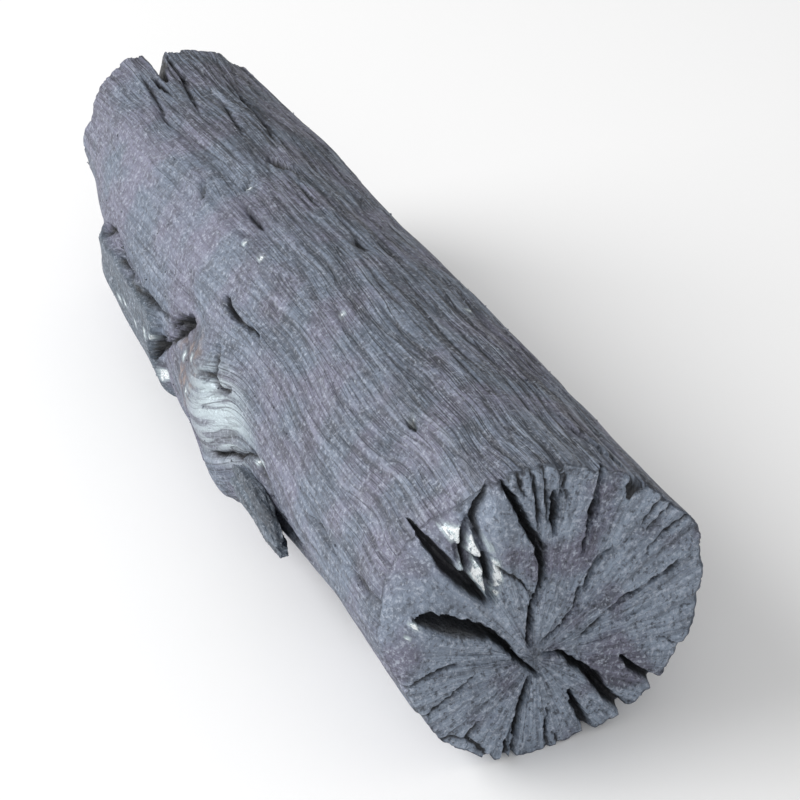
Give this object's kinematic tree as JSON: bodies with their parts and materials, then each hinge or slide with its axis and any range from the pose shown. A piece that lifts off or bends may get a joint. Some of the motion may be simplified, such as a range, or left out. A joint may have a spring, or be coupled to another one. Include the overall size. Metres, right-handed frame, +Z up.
{
  "type": "charcoal lump",
  "caption": "A lump of hardwood charcoal: a length of branch, cracked in a star over its sawn end and broken off at the other, burnt as fuel in a grill or hearth.",
  "frame": {"origin": "the middle of the underside's box, on the surface that the lump lies on", "axes": "+X along the branch towards the sawn end with the star of cracks, +Z up, -Y the side with the stub of a torn-off side branch and the splinter of bark"},
  "size_m": [0.218, 0.0698, 0.0679],
  "materials": {
    "charcoal": "carbonised, dull blue-grey with a faint graphite gleam"
  },
  "bodies": {
    "root": {"charcoal_lump": "charcoal"}
  },
  "joints": []
}
